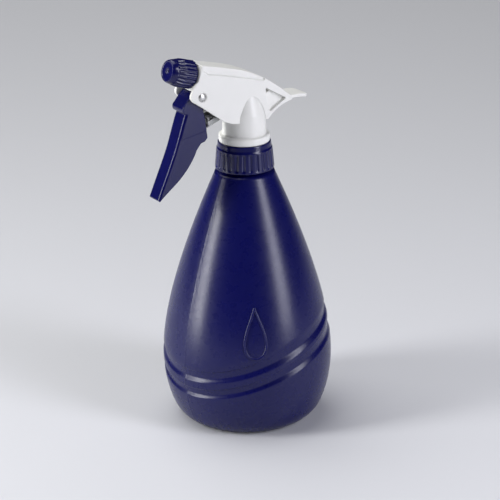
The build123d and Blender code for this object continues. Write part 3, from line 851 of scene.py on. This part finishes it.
@dataclass
class Collar:
    """The screw collar: a fluted skirt under a plain bevelled band."""

    radius: float = 17.0
    bore: float = 13.9
    height: float = 15.7
    top_wall: float = 2.3
    top_radius: float = 15.0
    taper: float = 1.0
    band: float = 3.6
    hole: float = 11.3
    flutes: int = 26
    flute_length: float = 10.4
    flute_foot: float = 1.0
    flute_fade: float = 0.9
    cutter: float = 1.2
    cutter_depth: float = 0.55
    samples: int = 14

    def build(self) -> None:
        """Build the collar as a turned ring whose skirt is cut by flutes with eased ends."""
        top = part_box("screw_collar")[1].z / MM
        foot = top - self.height
        outline = [
            (self.bore, foot + 4), (self.bore, foot), (self.radius, foot),
            (self.radius - self.taper, top - self.band - 0.2),
            (self.top_radius + 0.5, top - self.band + 0.5),
            (self.top_radius + 0.2, top - 0.3), (self.top_radius - 0.1, top),
            (self.hole, top), (self.hole, top - self.top_wall),
            (self.bore, top - self.top_wall), (self.bore, foot + 4),
        ]
        outline = fill_in(soften(outline, 0.35), 0.45)
        angle = np.linspace(0, FULL_TURN, self.flutes * self.samples, endpoint=False)[None, :]
        radius, height = outline[:, :1], outline[:, 1:]
        centre = self.radius + self.cutter - self.cutter_depth
        lean = self.taper * np.clip((height - foot) / (self.height - self.band), 0, 1)
        floor = flute_floor(angle, self.flutes, centre, self.cutter) - lean
        cut = np.clip(radius - floor, 0, None)
        low, fade = foot + self.flute_foot, self.flute_fade
        high = low + self.flute_length
        ends = soft_step(height, low, low + fade) * (1 - soft_step(height, high - fade, high))
        outer = radius > self.radius - self.taper - 0.4
        radius = radius - np.where(outer, cut * ends, 0)
        skin = grid_object("collar_skin", UPRIGHT.points(radius, angle, height)[:-1], ring=True)
        dress(skin, "collar", Surface.GLOSS_PP, "gloss_navy", "screw_collar")


# ---------------------------------------------------------------- spray head


# a point nearer a flat than the first distance is drawn onto it, one past the second is left
FLAT_REACH = (0.04, 0.14)


def softened_copy(
    name: str, node: str, voxel: float, passes: int, flats: tuple[float, ...]
) -> bpy.types.Object:
    """Make a moulded skin of a CAD node, with every sharp edge eased.

    The node's mesh is merged, remeshed in voxels and smoothed. Then points within reach of
    a flat that lies square to Y are drawn back onto it, by a smooth share of their distance,
    so that flats stay true and only the edges are rounded.

    Args:
        name: the new object's name.
        node: the CAD node.
        voxel: voxel size in millimetres.
        passes: smoothing passes.
        flats: distances of the true flats from the middle plane.

    Returns:
        The object.
    """
    shell = bmesh.new()
    shell.from_mesh(frame["nodes"][node].data)
    bmesh.ops.remove_doubles(shell, verts=shell.verts, dist=1e-6)
    rough = bpy.data.meshes.new(name)
    shell.to_mesh(rough)
    shell.free()
    made = bpy.data.objects.new(name, rough)
    bpy.context.scene.collection.objects.link(made)
    remesh = made.modifiers.new("remesh", "REMESH")
    remesh.mode = "VOXEL"
    remesh.voxel_size = voxel * MM
    smooth = made.modifiers.new("smooth", "SMOOTH")
    smooth.factor = 0.5
    smooth.iterations = passes
    bpy.context.view_layer.update()
    seen = made.evaluated_get(bpy.context.evaluated_depsgraph_get())
    final = bpy.data.meshes.new_from_object(seen)
    made.modifiers.clear()
    made.data = final
    place = np.empty(len(final.vertices) * 3, np.float32)
    final.vertices.foreach_get("co", place)
    place = place.reshape(-1, 3)
    for flat in flats:
        off = np.abs(place[:, 1]) / MM - flat
        pull = 1 - soft_step(np.abs(off), *FLAT_REACH)
        place[:, 1] -= np.sign(place[:, 1]) * off * pull * MM
    final.vertices.foreach_set("co", place.ravel())
    final.update()
    final.shade_smooth()
    return made


@dataclass
class Head:
    """The white head's own skins: pump body, shroud and pivot pin."""

    voxel: float = 0.36
    pin_radius: float = 1.5
    pin_head: float = 2.68
    pin_seat: float = 8.3
    shroud_flats: tuple[float, ...] = (9.0, 7.8, 7.0, 6.6)

    def build(self) -> None:
        """Build the head's moulded skins and its pin."""
        body = softened_copy("pump_body_skin", "pump_body", self.voxel, 3, ())
        dress(body, "head", Surface.WHITE_PP, "white_shell", "pump_body")
        shroud = softened_copy("shroud_skin", "shroud", self.voxel, 5, self.shroud_flats)
        dress(shroud, "head", Surface.WHITE_PP, "white_shell", "shroud")
        self.pin()

    def pin(self) -> None:
        """Build the pivot pin, a bar with a domed head at each end."""
        seat, head, bar = self.pin_seat, self.pin_head, self.pin_radius
        half = [
            (0.0, seat + 1.1), (0.9, seat + 1.06), (1.7, seat + 0.86), (2.3, seat + 0.5),
            (head, seat + 0.15), (head, seat), (bar, seat),
        ]
        outline = np.array(half + [(radius, -up) for radius, up in half[::-1]])
        piece = turned("pivot_pin_skin", outline, 48, joint_axis("trigger_pull"))
        dress(piece, "head", Surface.STEEL, "steel", "pivot_pin")


@dataclass
class Coil:
    """A compression spring: a wire wound round an axis, its end turns closed up.

    start, end and fixed_end are places along the axis, and keep is the share of its length
    that the spring still has at the end of its joint's travel; fixed_end and keep are not used.
    """

    name: str
    node: str
    axis: Axis
    radius: float
    wire: float
    start: float
    end: float
    turns: float
    joint: str
    keep: float
    fixed_end: float

    def build(self) -> None:
        """Build the wire along its axis.

        The wire's middle runs at angle 2 pi turns u, and its height eases away from both
        ends as u - 0.16 sin(2 pi u) / pi. The wire's section is a circle, closed to a point at
        each end.
        """
        u = np.linspace(0, 1, int(self.turns * 28))
        rise = u - 0.16 * np.sin(FULL_TURN * u) / np.pi
        angle = FULL_TURN * self.turns * u
        middle = self.start + self.wire + rise * (self.end - self.start - 2 * self.wire)
        turn = np.linspace(0, FULL_TURN, 10, endpoint=False)[None, :]
        thick = np.full_like(u, self.wire)
        thick[[0, -1]] = 0
        radius = self.radius + thick[:, None] * np.cos(turn)
        height = middle[:, None] + thick[:, None] * np.sin(turn)
        piece = grid_object(self.name, self.axis.points(radius, angle[:, None], height))
        dress(piece, "head", Surface.STEEL, "steel", self.node)
        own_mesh(piece)


# ---------------------------------------------------------------- trigger and nozzle


@dataclass
class Trigger:
    """The navy trigger, hollow behind its finger face."""

    voxel: float = 0.27
    flats: tuple[float, ...] = (5.8, 4.8)

    def build(self) -> None:
        """Build the trigger's skin, its long edges eased enough to catch the light."""
        skin = softened_copy("trigger_skin", "trigger", self.voxel, 5, self.flats)
        dress(skin, "trigger", Surface.GLOSS_PP, "gloss_navy", "trigger")


@dataclass
class Nozzle:
    """The fluted nozzle knob, whose zero is its back face on the joint's axis."""

    radius: float = 8.0
    front: float = 6.5
    length: float = 15.4
    bore: float = 4.7
    depth: float = 11.2
    flutes: int = 22
    cutter: float = 0.95
    centre: float = 8.42
    taper: float = 1.1
    taper_start: float = 7.1
    flute_end: float = 12.4
    flute_fade: float = 1.5
    samples: int = 16

    def build(self) -> None:
        """Build the knob, turned, with flutes that run out where its front narrows."""
        front = self.length
        outline = [
            (0.0, front - 2.4), (0.4, front - 2.4), (0.45, front - 1.2), (1.5, front - 0.7),
            (1.7, front - 0.35), (5.1, front - 0.3), (5.5, front), (self.front - 0.6, front),
            (self.front, front - 1.2), (self.radius - 0.1, front * 0.56),
            (self.radius, front * 0.46), (self.radius, 0.0), (self.bore, 0.0),
            (self.bore, self.depth), (0.0, self.depth),
        ]
        outline = fill_in(soften(outline, 0.4), 0.4)

        def fluted(radius: np.ndarray, angle: np.ndarray, height: np.ndarray) -> np.ndarray:
            """Return the radius after the flutes, which lean with the taper and then fade.

            Args:
                radius: the plain radius.
                angle: angle round the axis, in radians.
                height: distance from the knob's back face.

            Returns:
                The radius at each height and angle.
            """
            lean = self.taper * np.clip(
                (height - self.taper_start) / (self.flute_end - self.taper_start), 0, 1
            )
            floor = flute_floor(angle, self.flutes, self.centre, self.cutter) - lean
            cut = np.clip(radius - floor, 0, None)
            cut = cut * (1 - soft_step(height, self.flute_end - self.flute_fade, self.flute_end))
            return radius - np.where(radius > self.bore + 0.5, cut, 0)

        columns = self.flutes * self.samples
        knob = turned("nozzle_knob_skin", outline, columns, joint_axis("nozzle_turn"), fluted)
        dress(knob, "nozzle", Surface.GLOSS_PP, "gloss_navy", "nozzle_knob")


# ---------------------------------------------------------------- CAD nodes that stay


KEPT_NODES = {
    "neck_gasket": Surface.RUBBER,
    "pump_cylinder": Surface.NATURAL_PE,
    "piston_guide": Surface.NATURAL_PE,
    "piston": Surface.NATURAL_PE,
    "piston_seal": Surface.RUBBER,
    "piston_cap": Surface.NATURAL_PE,
    "nozzle_seal_ring": Surface.RUBBER,
    "swirl_insert": Surface.NATURAL_PE,
    "outlet_ball": Surface.STEEL,
    "tube_holder": Surface.NATURAL_PE,
    "inlet_ball": Surface.STEEL,
    "dip_tube": Surface.NATURAL_PE,
    "tube_strainer": Surface.NATURAL_PE,
}


def dress_kept_nodes() -> None:
    """Give every CAD node that stays in view its finish."""
    for name, surface in KEPT_NODES.items():
        for slot in frame["nodes"][name].material_slots:
            slot.material = surface.material
        log.info("%s keeps its CAD shape", name)


# ---------------------------------------------------------------- studio


@dataclass(frozen=True)
class Softbox:
    """A soft area light aimed at a point, placed by angle round the object."""

    name: str
    azimuth: float
    elevation: float
    distance: float
    width: float
    height: float
    watts: float
    colour: str = "#ffffff"
    target: tuple[float, float, float] = (0.0, 0.0, 0.1)

    def build(self) -> None:
        """Place the light at its angles and turn it to its target. Lengths are in metres."""
        lamp = bpy.data.lights.new(self.name, "AREA")
        lamp.shape = "RECTANGLE"
        lamp.size, lamp.size_y = self.width, self.height
        lamp.energy = self.watts
        lamp.color = linear(self.colour)[:3]
        flat, up = radians(self.azimuth), radians(self.elevation)
        way = Vector((cos(up) * cos(flat), cos(up) * sin(flat), sin(up)))
        made = bpy.data.objects.new(self.name, lamp)
        made.location = Vector(self.target) + way * self.distance
        made.rotation_euler = way.to_track_quat("Z", "Y").to_euler()
        bpy.context.scene.collection.objects.link(made)


@dataclass(frozen=True)
class Studio:
    """A wide pale floor, soft lights and the camera."""

    floor_colour: str = "#cdced2"
    floor_radius: float = 3.5
    floor_lip: float = 0.05
    floor_roughness: float = 0.7
    floor_columns: int = 96
    world_colour: str = "#8f9096"
    world_strength: float = 0.06
    lights: tuple[Softbox, ...] = (
        Softbox(
            "left_softbox", azimuth=-16.0, elevation=20.0, distance=0.95, width=0.22,
            height=0.9, watts=9.5,
        ),
        Softbox(
            "right_softbox", azimuth=115.0, elevation=22.0, distance=1.0, width=0.3,
            height=0.9, watts=8.2, colour="#f6f6ff",
        ),
        Softbox(
            "top_softbox", azimuth=-80.0, elevation=67.0, distance=3.0, width=3.2,
            height=3.2, watts=74.0,
        ),
    )
    camera_place: tuple[float, float, float] = (0.58790, 0.90971, 0.51787)
    camera_target: tuple[float, float, float] = (-0.00202, 0.00131, 0.09992)
    camera_roll: float = -0.01343
    lens: float = 144.0
    sensor: float = 36.0

    def camera(self) -> None:
        """Place the camera. Its roll, in radians, turns right towards up."""
        made = bpy.data.objects.new("camera", bpy.data.cameras.new("camera"))
        made.data.lens, made.data.sensor_width = self.lens, self.sensor
        ahead = (Vector(self.camera_target) - Vector(self.camera_place)).normalized()
        right = ahead.cross(Vector((0, 0, 1))).normalized()
        up = right.cross(ahead)
        roll_cos, roll_sin = cos(self.camera_roll), sin(self.camera_roll)
        across, above = right * roll_cos + up * roll_sin, up * roll_cos - right * roll_sin
        turned_frame = Matrix((across, above, -ahead)).transposed().to_4x4()
        turned_frame.translation = Vector(self.camera_place)
        made.matrix_world = turned_frame
        bpy.context.scene.collection.objects.link(made)
        bpy.context.scene.camera = made

    def floor(self) -> None:
        """Build the floor, a thin round slab whose rim curves up a little."""
        edge, lip = self.floor_radius, self.floor_lip
        outline = soften(
            [(0.0, 0.0), (edge, 0.0), (edge + lip, lip), (edge + 2 * lip, lip),
             (edge + lip, -lip), (0.0, -lip)],
            lip, steps=6,
        )
        made = turned("studio_floor", outline / MM, self.floor_columns, UPRIGHT)
        # matt background paper: one even pale grey
        paper = Finish(
            "studio_paper", self.floor_colour, self.floor_colour, self.floor_roughness,
            gloss_size=40.0, grain_size=2.0, grain_height=0.01,
        )
        made.data.materials.append(paper.material())

    def build(self) -> None:
        """Build the floor, lights, surrounding light and camera."""
        self.floor()
        for softbox in self.lights:
            softbox.build()
        world = bpy.data.worlds.new("studio_world")
        world.use_nodes = True
        light = world.node_tree.nodes["Background"].inputs
        light["Color"].default_value = linear(self.world_colour)
        light["Strength"].default_value = self.world_strength
        bpy.context.scene.world = world
        bpy.context.scene.view_settings.view_transform = "Standard"
        self.camera()


# ---------------------------------------------------------------- the whole object


def main() -> None:
    """Build the studio and every sub-assembly in order."""
    logging.basicConfig(level=logging.INFO, format="%(name)s %(message)s")
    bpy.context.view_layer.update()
    Studio().build()
    pump = pump_axis()
    outlet = joint_axis("nozzle_turn")
    parts = [
        Bottle(),
        Collar(),
        Head(),
        Coil(
            "return_spring_coil", "return_spring", pump, radius=3.3, wire=0.33, start=2.0,
            end=14.9, turns=7.0, joint="trigger_pull", keep=0.409, fixed_end=14.9,
        ),
        Coil(
            "outlet_spring_coil", "outlet_spring", outlet, radius=1.65, wire=0.2, start=-9.8,
            end=1.6, turns=8.0, joint="outlet_ball_lift", keep=0.947, fixed_end=1.6,
        ),
        Trigger(),
        Nozzle(),
    ]
    for part in parts:
        part.build()
    dress_kept_nodes()


if __name__ == "__main__":
    main()
